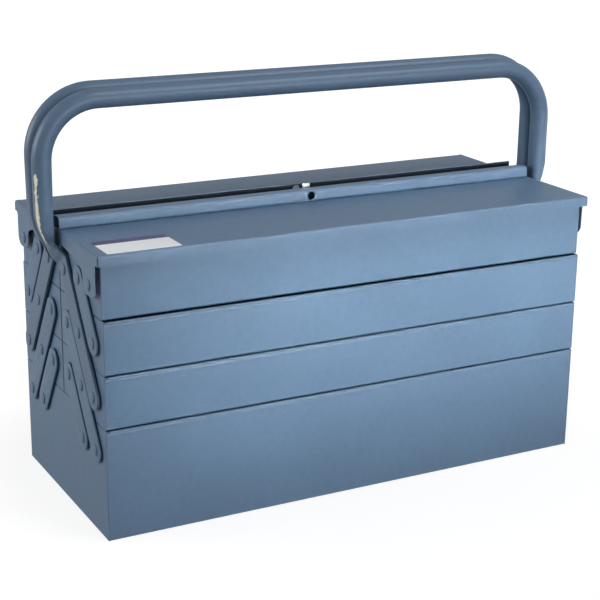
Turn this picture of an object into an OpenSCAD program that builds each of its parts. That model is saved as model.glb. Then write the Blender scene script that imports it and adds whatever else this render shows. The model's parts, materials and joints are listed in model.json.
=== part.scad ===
// Cantilever tool box: a base pan, six swing-out trays, two lids and two carrying handles.
// Frame: X runs along the box, the front is -Y, Z is up, and the origin is the centre of the
// base's underside. The front half is drawn at -Y and the rear half is its mirror image.
// All sizes are in millimetres.

/* [Box] */
// Length of the base and the trays
box_l = 530; // [460:1:640]
// Depth of one half of the box, from the middle to a front wall
half_d = 114; // [105:1:140]
// Thickness of the sheet steel
sheet = 0.8; // [0.6:0.1:1.2]
// Gap between a tray's inner wall and the middle of the box
mid_gap = 1; // [0.5:0.1:3]

/* [Base and trays] */
// Height of the base pan
base_h = 110; // [90:1:150]
// Height of a lower and of a middle tray
tray_h = 51.5; // [45:0.5:65]
// Height of an upper tray
upper_h = 54; // [46:0.5:66]
// How far an upper tray's front wall is set back from the walls below
upper_set = 3; // [2:0.1:5]
// Gap under each tray
tier_gap = 1; // [0.5:0.1:2]
// How far a folded rim stands out from its wall
hem_t = 1.2; // [0.8:0.1:1.6]
// Height of a folded rim
hem_h = 5; // [3:0.5:8]

/* [Lids] */
// Clearance between the upper tray's front corner and the lid plate that swings past it
lid_swing = 0.8; // [0.5:0.1:3]
// How far a lid stands out past a tray's front wall
lid_front = 4; // [3:0.1:6]
// How far a lid stands out past a tray's end
lid_end = 5; // [4.2:0.1:7]
// Depth of a lid's turned-down edge
lid_edge = 10; // [8:0.5:14]
// Depth of the end edge where it meets the hinge ear
lid_edge_ear = 16; // [14:0.5:20]
// Distance from the middle of the box to the raised band's face
band_d = 17; // [14:0.5:24]
// Height of the front lid's raised band over the lid plate
band_h = 13; // [12:0.5:18]
// Height of the rear lid's upright flange over the lid plate
flange_h = 12; // [11.5:0.5:13]
// Height of the band's turned-down inner lip
band_lip = 12; // [11:0.5:16]
// Distance from a lid's left end to the left end of its raised band
band_end_left = 0.5; // [0.5:0.5:20]
// Distance from a lid's right end to the right end of its raised band
band_end_right = 5.5; // [0.5:0.5:20]
// Width of a hinge ear
ear_w = 27; // [24:0.5:30]
// Radius of a hinge ear's lower corners
ear_r = 10; // [8:0.5:12]
// Diameter of the padlock hole through the bands
lock_d = 8.5; // [7:0.1:9]
// Height of the padlock hole's centre over the lid plate
lock_z = 6.5; // [5.5:0.1:6.6]
// Distance of the padlock hole to the left of the middle
lock_left = 2.5; // [0:0.5:20]

/* [Link arms] */
// Distance from the middle of the box to the inner pivots
pivot_in = 23; // [20:0.5:26]
// Distance from a front wall to the outer pivots
pivot_edge = 22; // [20:0.5:27]
// Height of the base's pivots under its rim
pivot_drop = 25.5; // [22:0.5:30]
// Height of the lid's pivot over the upper tray's arm pivots
lid_pivot_up = 3; // [0:0.5:6]
// Gap between two link arms that lie side by side
arm_gap = 4.8; // [1:0.1:8]
// Thickness of a link arm
arm_t = 2; // [1.5:0.1:2.5]
// Play on each face of a link arm
arm_play = 0.1; // [0.05:0.05:0.2]

/* [Handles] */
// Diameter of the handle tube
tube_d = 19; // [16:0.5:20]
// Wall of the handle tube
tube_wall = 1.2; // [1:0.1:2]
// Height of the front handle's bar, measured to its centre
front_bar_z = 398; // [380:1:430]
// Height of the rear handle's bar, measured to its centre
rear_bar_z = 402; // [380:1:430]
// Gap between the two handle tubes
tube_gap = 0.8; // [0.4:0.1:3]
// Distance from a lid's end to the tube's inner side
tube_out = 2.5; // [2:0.1:6]
// Bend radius at the handle's corners, measured to the tube's centre
bend_r = 56; // [45:1:70]
// Gap between the handle's flattened leg and the link arms beside it
leg_gap = 4.8; // [0.3:0.1:6]
// Thickness of the handle's flattened leg
leg_t = 3.2; // [2.6:0.1:4]
// Distance from the top pivot to where the flat leg ends
leg_end = 8; // [6:0.5:9]
// Distance from the top pivot to where the leg is clear of the lid
joggle_end = 17; // [14:0.5:17]
// Thickness of the leg where it is clear of the lid
joggle_t = 4; // [3:0.1:6]
// Height over the top pivot at which the leg is a round tube
round_up = 50; // [45:1:70]

/* [Rivets] */
// Diameter of a rivet's shank
rivet_d = 5; // [4:0.1:6]
// Diameter of a rivet's head
head_d = 11; // [9:0.5:12]
// Height of a rivet's head
head_t = 1.6; // [1.2:0.1:2]
// Diameter of a rivet's formed tail
tail_d = 8.5; // [7:0.5:10]
// Height of a rivet's formed tail
tail_t = 1.2; // [1:0.1:2]
// Radial clearance between a shank and its holes
rivet_play = 0.08; // [0.05:0.01:0.1]
// Diameter of a washer
washer_d = 12; // [10:0.5:14]
// Thickness of a washer
washer_t = 0.8; // [0.6:0.1:1]

/* [Fittings] */
// Width of the catch between the lids
latch_w = 8; // [6:0.5:14]
// Height of the catch
latch_h = 4; // [3:0.5:4.5]
// How far the catch stands up over the raised band
latch_up = 2.5; // [1:0.5:2.5]
// Thickness of the catch
latch_t = 1.5; // [1:0.1:1.6]
// Length of the paper label
label_l = 72; // [50:1:90]
// Depth of the paper label
label_d = 44; // [30:1:60]
// Thickness of the paper label
label_t = 0.2; // [0.1:0.1:0.3]
// Distance from the lid's end to the label
label_x = 11; // [5:1:60]
// Distance from the lid's front edge to the label
label_y = 3.5; // [2:0.5:20]

/* [Hidden] */

$fn = 48;
// Thickness of the slices that hulls join
skin = 0.02;
// Overlap of solids that are joined, and of cuts past a face
lap = 1;
// Clearance between a folded rim inside an end plate and the walls beside it
rim_play = 0.2;

paint = [0.40, 0.48, 0.58];
zinc = [0.80, 0.82, 0.84];
paper = [0.93, 0.93, 0.94];

// One tier up is one swing of the link arms
tier = tray_h + tier_gap;
end_x = box_l / 2;
lid_end_x = end_x + lid_end;

// Underside of the tray of tier 1, 2 or 3
function tier_z(n) = base_h + tier_gap + (n - 1) * tier;
lid_front_y = half_d + lid_front;

// Distance between two neighbouring pivots on one tray
pivot_pitch = (half_d - pivot_edge - pivot_in) / 2;

// Pivot columns, counted outwards from the middle, and pivot rows, counted up from the base
function column(n) = pivot_in + (n - 1) * pivot_pitch;
function row(n) = base_h - pivot_drop + n * tier;
lid_pivot = [column(3), row(3) + lid_pivot_up];

// The lid plate lies as high over its pivot as it must to pass the upper tray's front corner
upper_d = half_d - upper_set;
upper_corner = [upper_d, tier_z(3) + upper_h];
lid_z = lid_pivot[1] + norm(upper_corner - lid_pivot) + lid_swing + sheet;
band_z = lid_z + band_h;

// A closed arm leans inwards by one column for each row
lean = atan2(pivot_pitch, tier);
arm_l = norm([pivot_pitch, tier]);
// Arms side by side start at neighbouring pivots and lean alike
arm_w = pivot_pitch * cos(lean) - arm_gap;
leg_w = 2 * (pivot_pitch * cos(lean) - leg_gap) - arm_w;

// Layers outside an end wall
arm_x = end_x + washer_t + arm_play;
lid_spacer_t = lid_end - sheet - arm_play;
tube_x = lid_end_x + tube_out + tube_d / 2;
tube_y = (tube_d + tube_gap) / 2;
leg_clear_x = lid_end_x + 0.5;
leg_inner_y = tube_gap / 2;

// The rear half is the front half seen in a mirror
module rear() {
    mirror([0, 1, 0]) children();
}

module both_ends() {
    children();
    mirror([1, 0, 0]) children();
}

// Puts a flat outline drawn as (distance from the middle, height) on the left end:
// its inner face lies at x = -from and it is thick towards the outside
module on_end(from, thick) {
    translate([-from - thick, 0, 0])
        multmatrix([[0, 0, 1, 0], [-1, 0, 0, 0], [0, 1, 0, 0]])
            linear_extrude(thick) children();
}

// Round hole through an end wall, arm or ear at a pivot, for on_end outlines
module pivot_hole(at) {
    translate(at) circle(d = rivet_d + 2 * rivet_play);
}

// Bottom, front wall and inner wall of a tray, folded from one sheet
module tray_wrap(d, z, h, front_hem) {
    l = box_l - 2 * sheet;
    color(paint) translate([-l / 2, -d, z]) {
        cube([l, d - mid_gap, sheet]);
        cube([l, sheet, h]);
        translate([0, d - mid_gap - sheet, 0]) cube([l, sheet, h]);
        if (front_hem)
            translate([0, -hem_t, h - hem_h]) cube([l, hem_t + sheet, hem_h]);
    }
}

// One end plate of a tray: a flat plate with a rim folded inwards and three pivot holes
module tray_end(d, z, h, holes) {
    difference() {
        union() {
            on_end(end_x - sheet, sheet)
                translate([mid_gap, z]) square([d - mid_gap, h]);
            on_end(end_x - sheet - hem_t, hem_t)
                translate([mid_gap + sheet + rim_play, z + h - hem_h])
                    square([d - mid_gap - 2 * sheet - 2 * rim_play, hem_h]);
        }
        for (at = holes)
            on_end(end_x - sheet - lap, sheet + 2 * lap) pivot_hole(at);
    }
}

module tray_ends(d, z, h, holes) {
    color(paint) both_ends() tray_end(d, z, h, holes);
}

// Turned profile of a rivet: formed tail inside the wall, shank and domed head, as (radius, x)
// with x counted outwards from the end wall's outer face
module rivet(at, under_head) {
    dome = [for (a = [0:15:90]) [head_d / 2 * cos(a), under_head + head_t * sin(a)]];
    tail_x = -sheet;
    color(paint) translate([-end_x, -at[0], at[1]]) rotate([0, -90, 0])
        rotate_extrude() polygon(concat(
            [[0, tail_x - tail_t], [tail_d / 2 - 0.5, tail_x - tail_t], [tail_d / 2, tail_x - tail_t + 0.5],
             [tail_d / 2, tail_x], [rivet_d / 2, tail_x], [rivet_d / 2, under_head]],
            dome));
}

// Washer, or spacer, round a rivet outside the end wall
module washer(at, t) {
    color(zinc) on_end(end_x, t) translate(at) difference() {
        circle(d = washer_d);
        circle(d = rivet_d + 2 * rivet_play);
    }
}

// Heads of rivets over a link arm, over a handle leg and over a lid's ear
over_arm = washer_t + arm_t + 2 * arm_play;
over_leg = washer_t + leg_t + 2 * arm_play;
over_ear = lid_end + arm_play;

// Base
module base_pan() {
    l = box_l - 2 * sheet;
    color(paint) translate([-l / 2, -half_d, 0]) {
        cube([l, 2 * half_d, sheet]);
        for (side = [0, 1]) {
            translate([0, side * (2 * half_d - sheet), 0]) cube([l, sheet, base_h]);
            translate([0, side * (2 * half_d - sheet) - (1 - side) * hem_t, base_h - hem_h])
                cube([l, hem_t + sheet, hem_h]);
        }
    }
}

base_pivots = [for (side = [-1, 1]) for (n = [2, 3]) [side * column(n), row(0)]];

module base_end_plates() {
    color(paint) both_ends() difference() {
        union() {
            on_end(end_x - sheet, sheet) translate([-half_d, 0]) square([2 * half_d, base_h]);
            on_end(end_x - sheet - hem_t, hem_t)
                translate([-half_d + sheet + rim_play, base_h - hem_h])
                    square([2 * (half_d - sheet - rim_play), hem_h]);
        }
        for (at = base_pivots)
            on_end(end_x - sheet - lap, sheet + 2 * lap) pivot_hole(at);
    }
}

module base_rivets() {
    both_ends() for (at = base_pivots) rivet(at, over_arm);
}

module base_washers() {
    both_ends() for (at = base_pivots) washer(at, washer_t);
}

// Trays. Each has three pivots a side: the outer and middle ones of its row and the inner one.
lower_pivots = [for (n = [1:3]) [column(n), row(1)]];
middle_pivots = [for (n = [1:3]) [column(n), row(2)]];
upper_pivots = [[column(1), row(3)], [column(2), row(3)], lid_pivot];

module front_lower_tray() {
    tray_wrap(half_d, tier_z(1), tray_h, true);
}

module front_middle_tray() {
    tray_wrap(half_d, tier_z(2), tray_h, true);
}

module front_upper_tray() {
    tray_wrap(upper_d, tier_z(3), upper_h, false);
}

module front_lower_ends() {
    tray_ends(half_d, tier_z(1), tray_h, lower_pivots);
}

module front_middle_ends() {
    tray_ends(half_d, tier_z(2), tray_h, middle_pivots);
}

module front_upper_ends() {
    tray_ends(upper_d, tier_z(3), upper_h, upper_pivots);
}

// The handle's leg hangs on the outer pivot of the lower tray, the middle one of the middle tray
// and the inner one of the upper tray
module front_lower_rivets() {
    both_ends() {
        rivet(lower_pivots[0], over_arm);
        rivet(lower_pivots[1], over_arm);
        rivet(lower_pivots[2], over_leg);
    }
}

module front_middle_rivets() {
    both_ends() {
        rivet(middle_pivots[0], over_arm);
        rivet(middle_pivots[1], over_leg);
        rivet(middle_pivots[2], over_arm);
    }
}

module front_upper_rivets() {
    both_ends() {
        rivet(upper_pivots[0], over_leg);
        rivet(upper_pivots[1], over_arm);
        rivet(upper_pivots[2], over_ear);
    }
}

module front_lower_washers() {
    both_ends() for (at = lower_pivots) washer(at, washer_t);
}

module front_middle_washers() {
    both_ends() for (at = middle_pivots) washer(at, washer_t);
}

module front_upper_washers() {
    both_ends() {
        washer(upper_pivots[0], washer_t);
        washer(upper_pivots[1], washer_t);
        washer(upper_pivots[2], lid_spacer_t);
    }
}

module rear_lower_tray() { rear() front_lower_tray(); }
module rear_middle_tray() { rear() front_middle_tray(); }
module rear_upper_tray() { rear() front_upper_tray(); }
module rear_lower_ends() { rear() front_lower_ends(); }
module rear_middle_ends() { rear() front_middle_ends(); }
module rear_upper_ends() { rear() front_upper_ends(); }
module rear_lower_rivets() { rear() front_lower_rivets(); }
module rear_middle_rivets() { rear() front_middle_rivets(); }
module rear_upper_rivets() { rear() front_upper_rivets(); }
module rear_lower_washers() { rear() front_lower_washers(); }
module rear_middle_washers() { rear() front_middle_washers(); }
module rear_upper_washers() { rear() front_upper_washers(); }

// Lid: a plate with a turned-down front edge and two turned-down ends with their hinge ears.
// Along the middle of the box the front lid has a raised band, open below, whose inner lip is
// turned down again; the rear lid has an upright flange
module lid_end_outline() {
    ear_in = lid_pivot[0] - ear_w / 2;
    ear_out = lid_pivot[0] + ear_w / 2;
    difference() {
        union() {
            polygon([
                [mid_gap, lid_z - sheet], [mid_gap, lid_z - lid_edge],
                [column(2), lid_z - lid_edge_ear], [ear_in, lid_pivot[1] + ear_r],
                [ear_in, lid_pivot[1]], [ear_out, lid_pivot[1]],
                [ear_out, lid_z - lid_edge], [lid_front_y, lid_z - lid_edge],
                [lid_front_y, lid_z - sheet]
            ]);
            translate([ear_in + ear_r, lid_pivot[1] - ear_r])
                square([ear_w - 2 * ear_r, ear_r + lap]);
            for (y = [ear_in + ear_r, ear_out - ear_r])
                translate([y, lid_pivot[1]]) circle(r = ear_r);
        }
        pivot_hole(lid_pivot);
    }
}

module lid_plate() {
    l = 2 * lid_end_x;
    translate([-l / 2, -lid_front_y, lid_z - sheet]) cube([l, lid_front_y - band_d, sheet]);
    translate([-l / 2 + sheet, -lid_front_y, lid_z - lid_edge]) cube([l - 2 * sheet, sheet, lid_edge]);
}

// Sheet over the length of the raised bands, from the plate's level or higher
module band_strip(y, z, w, h) {
    translate([-lid_end_x + band_end_left, y, z])
        cube([2 * lid_end_x - band_end_left - band_end_right, w, h]);
}

module padlock_hole() {
    translate([-lock_left, -mid_gap + lap, lid_z + lock_z]) rotate([90, 0, 0])
        cylinder(d = lock_d, h = band_d + 2 * lap);
}

module front_lid() {
    color(paint) {
        lid_plate();
        translate([-lid_end_x, -band_d, lid_z - sheet]) cube([band_end_left, band_d - mid_gap, sheet]);
        translate([lid_end_x - band_end_right, -band_d, lid_z - sheet])
            cube([band_end_right, band_d - mid_gap, sheet]);
    }
}

module front_lid_band() {
    color(paint) difference() {
        union() {
            band_strip(-band_d, lid_z - sheet, sheet, band_h + sheet);
            band_strip(-band_d, band_z - sheet, band_d - mid_gap, sheet);
            band_strip(-mid_gap - sheet, band_z - band_lip, sheet, band_lip);
        }
        padlock_hole();
    }
}

module rear_lid_band() {
    color(paint) rear() difference() {
        band_strip(-band_d, lid_z - sheet, sheet, flange_h + sheet);
        padlock_hole();
    }
}

module front_lid_ends() {
    color(paint) both_ends() on_end(lid_end_x - sheet, sheet) lid_end_outline();
}

module rear_lid() { color(paint) rear() lid_plate(); }
module rear_lid_ends() { rear() front_lid_ends(); }

// Catch: an upright tab on the back of the band's lip, over the padlock hole
module latch_plate() {
    color(zinc) translate([-latch_w / 2, -mid_gap, band_z + latch_up - latch_h])
        cube([latch_w, latch_t, latch_h]);
}

module paper_label() {
    color(paper) translate([-lid_end_x + label_x, -lid_front_y + label_y, lid_z])
        cube([label_l, label_d, label_t]);
}

// Link arm: a flat bar with round ends and a hole for each pivot, leaning inwards from the
// pivot [column, row] it starts at, and as long as the number of tiers it spans
module bar_outline(from, tiers) {
    translate(from) rotate(lean) difference() {
        union() {
            translate([-arm_w / 2, 0]) square([arm_w, tiers * arm_l]);
            circle(d = arm_w);
            translate([0, tiers * arm_l]) circle(d = arm_w);
        }
        for (n = [0:tiers]) pivot_hole([0, n * arm_l]);
    }
}

module arm(from, tiers) {
    color(paint) on_end(arm_x, arm_t) bar_outline(from, tiers);
}

module front_base_arm_left() { arm([column(2), row(0)], 1); }
module front_long_arm_left() { arm([column(3), row(0)], 2); }
module front_top_arm_left() { arm([column(3), row(2)], 1); }
module front_base_arm_right() { mirror([1, 0, 0]) front_base_arm_left(); }
module front_long_arm_right() { mirror([1, 0, 0]) front_long_arm_left(); }
module front_top_arm_right() { mirror([1, 0, 0]) front_top_arm_left(); }
module rear_base_arm_left() { rear() front_base_arm_left(); }
module rear_long_arm_left() { rear() front_long_arm_left(); }
module rear_top_arm_left() { rear() front_top_arm_left(); }
module rear_base_arm_right() { rear() front_base_arm_right(); }
module rear_long_arm_right() { rear() front_long_arm_right(); }
module rear_top_arm_right() { rear() front_top_arm_right(); }

// Flat part of a handle's leg, on the pivots of three trays
module flat_leg() {
    on_end(arm_x, leg_t) translate([column(3), row(1)]) rotate(lean) difference() {
        union() {
            translate([-leg_w / 2, 0]) square([leg_w, 2 * arm_l + leg_end]);
            circle(d = leg_w);
        }
        for (n = [0:2]) pivot_hole([0, n * arm_l]);
    }
}

// Thin slice square across the leg, the given way past the top pivot; it spans the leg's width
// but stays off the middle of the box
module leg_slice(from, thick, past) {
    on_end(from, thick) intersection() {
        translate([column(1), row(3)]) rotate(lean)
            translate([-leg_w / 2, past - skin]) square([leg_w, skin]);
        translate([leg_inner_y, 0]) square([half_d, band_z]);
    }
}

// The leg steps out past the lid and closes up into the round tube
module leg_neck() {
    hull() {
        leg_slice(arm_x, leg_t, leg_end);
        leg_slice(leg_clear_x, joggle_t, joggle_end);
    }
    hull() {
        leg_slice(leg_clear_x, joggle_t, joggle_end);
        translate([-tube_x, -tube_y, row(3) + round_up]) cylinder(d = tube_d, h = skin, $fn = 32);
    }
}

// Bar, two corners and two upright legs, of the given diameter
module bow(bar_z, d) {
    low = row(3) + round_up;
    straight = 2 * (tube_x - bend_r);
    translate([-straight / 2, -tube_y, bar_z]) rotate([0, 90, 0]) cylinder(d = d, h = straight);
    both_ends() {
        translate([-tube_x, -tube_y, low]) cylinder(d = d, h = bar_z - bend_r - low);
        translate([-tube_x + bend_r, -tube_y, bar_z - bend_r]) rotate([90, 0, 180])
            rotate_extrude(angle = 90, $fn = 96) translate([bend_r, 0]) circle(d = d);
    }
}

module handle(bar_z) {
    color(paint) {
        difference() {
            bow(bar_z, tube_d);
            bow(bar_z, tube_d - 2 * tube_wall);
        }
        both_ends() {
            flat_leg();
            leg_neck();
        }
    }
}

module front_handle() { handle(front_bar_z); }
module rear_handle() { rear() handle(rear_bar_z); }

base_pan();
base_end_plates();
base_rivets();
base_washers();
front_lower_tray();
front_lower_ends();
front_lower_rivets();
front_lower_washers();
front_middle_tray();
front_middle_ends();
front_middle_rivets();
front_middle_washers();
front_upper_tray();
front_upper_ends();
front_upper_rivets();
front_upper_washers();
rear_lower_tray();
rear_lower_ends();
rear_lower_rivets();
rear_lower_washers();
rear_middle_tray();
rear_middle_ends();
rear_middle_rivets();
rear_middle_washers();
rear_upper_tray();
rear_upper_ends();
rear_upper_rivets();
rear_upper_washers();
front_lid();
front_lid_band();
front_lid_ends();
rear_lid();
rear_lid_band();
rear_lid_ends();
latch_plate();
paper_label();
front_handle();
rear_handle();
front_base_arm_left();
front_base_arm_right();
front_long_arm_left();
front_long_arm_right();
front_top_arm_left();
front_top_arm_right();
rear_base_arm_left();
rear_base_arm_right();
rear_long_arm_left();
rear_long_arm_right();
rear_top_arm_left();
rear_top_arm_right();
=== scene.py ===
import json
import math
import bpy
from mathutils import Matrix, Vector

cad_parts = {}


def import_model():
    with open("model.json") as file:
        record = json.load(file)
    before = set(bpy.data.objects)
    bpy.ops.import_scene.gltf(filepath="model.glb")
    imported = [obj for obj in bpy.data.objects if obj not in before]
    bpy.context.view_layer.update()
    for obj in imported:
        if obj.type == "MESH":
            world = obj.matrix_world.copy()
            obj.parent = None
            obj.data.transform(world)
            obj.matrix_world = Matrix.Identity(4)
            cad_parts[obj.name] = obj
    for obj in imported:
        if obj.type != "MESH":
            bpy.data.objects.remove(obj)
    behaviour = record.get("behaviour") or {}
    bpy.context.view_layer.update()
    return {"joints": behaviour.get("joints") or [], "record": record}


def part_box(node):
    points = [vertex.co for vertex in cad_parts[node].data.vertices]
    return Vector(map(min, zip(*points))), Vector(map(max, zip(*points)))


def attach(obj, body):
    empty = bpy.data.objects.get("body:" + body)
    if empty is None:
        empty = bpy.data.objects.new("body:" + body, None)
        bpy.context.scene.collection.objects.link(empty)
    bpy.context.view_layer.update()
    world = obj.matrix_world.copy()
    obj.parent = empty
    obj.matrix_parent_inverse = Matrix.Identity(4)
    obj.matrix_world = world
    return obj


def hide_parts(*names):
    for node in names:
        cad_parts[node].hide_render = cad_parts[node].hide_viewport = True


bl_info = {
    "name": "Cantilever Tool Box",
    "version": (1, 0, 0),
    "blender": (4, 5, 0),
    "location": "View3D > Sidebar > Tool Box",
    "description": "Builds a sheet-steel cantilever tool box round its packed model",
    "category": "Add Mesh",
}

import bmesh
import bpy
import numpy as np
from mathutils import Matrix, Vector
from mathutils.geometry import tessellate_polygon

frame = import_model()

MM = 0.001
RING = 48                            # points round a tube or a drilled hole
HALVES = {"front": -1, "rear": 1}    # half's name and its side along Y
TIERS = ("lower", "middle", "upper")
JOINTS = {j["name"]: j for j in frame["joints"]}


# ---------------------------------------------------------------- settings


class SheetSizes(bpy.types.PropertyGroup):
    """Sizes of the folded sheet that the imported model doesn't fix."""

    sheet: bpy.props.FloatProperty(
        name="Sheet", description="Thickness of the sheet steel",
        default=0.8 * MM, min=0.4 * MM, unit="LENGTH")
    fold: bpy.props.FloatProperty(
        name="Fold radius", description="Outer radius of the folds",
        default=1.6 * MM, min=0.9 * MM, unit="LENGTH")
    bead: bpy.props.FloatProperty(
        name="Rim bead", description="Radius of the rolled rims",
        default=1.1 * MM, min=0.5 * MM, unit="LENGTH")
    seam: bpy.props.FloatProperty(
        name="Corner seam", description="Gap at a box's upright corners",
        default=0.6 * MM, min=0.1 * MM, unit="LENGTH")
    lid_fold: bpy.props.FloatProperty(
        name="Lid fold radius", description="Outer radius of a lid's edges",
        default=2.4 * MM, min=1 * MM, unit="LENGTH")
    band_foot: bpy.props.FloatProperty(
        name="Band foot", description="Rounding of the raised band's foot",
        default=3.4 * MM, min=1 * MM, unit="LENGTH")
    band_fold: bpy.props.FloatProperty(
        name="Band edge", description="Rounding of the raised band's top",
        default=4.0 * MM, min=1 * MM, unit="LENGTH")


class FinishSizes(bpy.types.PropertyGroup):
    """Colours and gloss of the finishes."""

    enamel: bpy.props.FloatVectorProperty(
        name="Enamel", description="Colour of the enamel",
        subtype="COLOR", size=3, default=(0.108, 0.180, 0.278))
    enamel_gloss: bpy.props.FloatProperty(
        name="Enamel roughness", description="Roughness of the enamel",
        subtype="FACTOR", default=0.40, min=0, max=1)
    peel: bpy.props.FloatProperty(
        name="Orange peel", description="Depth of the enamel's fine waves",
        subtype="FACTOR", default=0.16, min=0, max=1)
    primer: bpy.props.FloatVectorProperty(
        name="Primer", description="Colour where the enamel is worn",
        subtype="COLOR", size=3, default=(0.95, 0.89, 0.71))
    zinc: bpy.props.FloatVectorProperty(
        name="Zinc", description="Colour of the plated fittings",
        subtype="COLOR", size=3, default=(0.78, 0.80, 0.82))
    label: bpy.props.FloatVectorProperty(
        name="Label", description="Colour of the blank label",
        subtype="COLOR", size=3, default=(0.94, 0.96, 0.99))
    label_band: bpy.props.FloatVectorProperty(
        name="Label band", description="Colour of the label's plain band",
        subtype="COLOR", size=3, default=(0.045, 0.045, 0.16))


class StageSizes(bpy.types.PropertyGroup):
    """Camera and light."""

    lens: bpy.props.FloatProperty(
        name="Lens", description="Focal length in millimetres", default=90.12)
    eye: bpy.props.FloatVectorProperty(
        name="Camera place", description="Where the camera stands",
        subtype="TRANSLATION", size=3, default=(-0.7096, -1.3196, 0.6354))
    turn: bpy.props.FloatProperty(
        name="Camera turn", description="Turn from looking along +Y to the right",
        subtype="ANGLE", default=math.radians(28.1))
    down: bpy.props.FloatProperty(
        name="Camera tilt", description="Tilt downwards",
        subtype="ANGLE", default=math.radians(17.3))
    roll: bpy.props.FloatProperty(
        name="Camera roll", description="Roll about the line of sight",
        subtype="ANGLE", default=math.radians(0.7))
    sky: bpy.props.FloatProperty(
        name="Room light", description="Strength of the room's soft light",
        default=0.5, min=0)
    key: bpy.props.FloatProperty(
        name="Key light", description="Power of the large front light",
        default=11.0, min=0)


# ---------------------------------------------------------------- shapes


def rounded(points, radii, closed=False, steps=6):
    """Polyline with each corner replaced by an arc that is tangent to both sides.

    For a corner p with unit directions a and b to its neighbours and the half angle h between them,
    the arc of radius r starts and ends at r / tan(h) from p, and its centre lies at r / sin(h) along
    a + b. The arc's points are the slerp of the two end radii.
    """
    p = np.asarray(points, float)
    n = len(p)
    r = np.broadcast_to(np.asarray(radii, float), (n,))
    out = []
    for i in range(n):
        if not closed and i in (0, n - 1) or r[i] <= 0:
            out.append(p[i][None])
            continue
        a, b = p[i - 1] - p[i], p[(i + 1) % n] - p[i]
        a, b = a / np.linalg.norm(a), b / np.linalg.norm(b)
        h = 0.5 * math.acos(np.clip(a @ b, -1, 1))
        if h > math.radians(89.5):
            out.append(p[i][None])
            continue
        mid = (a + b) / np.linalg.norm(a + b)
        c = p[i] + mid * r[i] / math.sin(h)
        u0, u1 = p[i] + a * r[i] / math.tan(h) - c, p[i] + b * r[i] / math.tan(h) - c
        w = math.pi - 2 * h
        t = np.linspace(0, 1, steps + 1)[:, None]
        out.append(c + (np.sin((1 - t) * w) * u0 + np.sin(t * w) * u1) / math.sin(w))
    return np.concatenate(out)


def mitre(line, closed=False):
    """Sideways unit step at each point of a polyline: the mean of its two edges' left normals,
    lengthened by 1 / cos of half their angle, so that an offset keeps the edges parallel."""
    p = np.asarray(line, float)
    e = np.roll(p, -1, 0) - p
    if not closed:
        e[-1] = e[-2]
    e /= np.maximum(np.linalg.norm(e, axis=1, keepdims=True), 1e-12)
    nrm = np.stack([-e[:, 1], e[:, 0]], 1)
    before = np.roll(nrm, 1, 0)
    if not closed:
        before[0] = nrm[0]
    m = nrm + before
    m /= np.maximum(np.linalg.norm(m, axis=1, keepdims=True), 1e-12)
    return m / np.maximum((m * nrm).sum(1, keepdims=True), 0.35)


def grid_quads(rows, cols, wrap=False, start=0):
    """Quads between neighbouring rows and columns of a grid of points, as an array of indices."""
    i = np.arange(rows - 1)[:, None]
    j = np.arange(cols if wrap else cols - 1)[None]
    k = (j + 1) % cols
    q = np.stack([i * cols + j, i * cols + k, (i + 1) * cols + k, (i + 1) * cols + j], -1)
    return q.reshape(-1, 4) + start


def slab(outer, inner):
    """Closed wall between two grids of the same shape: both grids and a strip round their border."""
    n, m = outer.shape[:2]
    size = n * m
    verts = np.concatenate([outer.reshape(-1, 3), inner.reshape(-1, 3)])
    idx = np.arange(size).reshape(n, m)
    rim = np.concatenate([idx[0], idx[1:, -1], idx[-1, -2::-1], idx[-2:0:-1, 0]])
    nxt = np.roll(rim, -1)
    side = np.stack([rim, nxt, nxt + size, rim + size], 1)
    faces = [grid_quads(n, m), grid_quads(n, m, start=size)[:, ::-1], side]
    return verts, np.concatenate(faces).tolist()


def loft(rings, poles=False):
    """Closed skin over a stack of closed rings: ring i runs round an axis, and the ends are fans
    about the ring's centre, or are already drawn together to poles."""
    n, m = rings.shape[:2]
    verts = rings.reshape(-1, 3)
    faces = grid_quads(n, m, wrap=True).tolist()
    if not poles:
        j = np.arange(m)
        k = (j + 1) % m
        first, last = n * m, n * m + 1
        verts = np.concatenate([verts, rings[0].mean(0)[None], rings[-1].mean(0)[None]])
        faces += np.stack([k, j, np.full(m, first)], 1).tolist()
        faces += np.stack([j + (n - 1) * m, k + (n - 1) * m, np.full(m, last)], 1).tolist()
    return verts, faces


def lathe(profile, centre, side, steps=40):
    """Turned piece about the X axis through centre: points (x = side * h, r cos a, r sin a) for each
    profile point (r, h) and angle a. Profile ends on the axis close as poles."""
    prof = np.asarray(profile, float)
    a = np.linspace(0, 2 * math.pi, steps, endpoint=False)
    rings = np.empty((len(prof), steps, 3))
    rings[..., 0] = side * prof[:, 1, None]
    rings[..., 1] = centre[0] + prof[:, 0, None] * np.cos(a)
    rings[..., 2] = centre[1] + prof[:, 0, None] * np.sin(a)
    return rings


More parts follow.
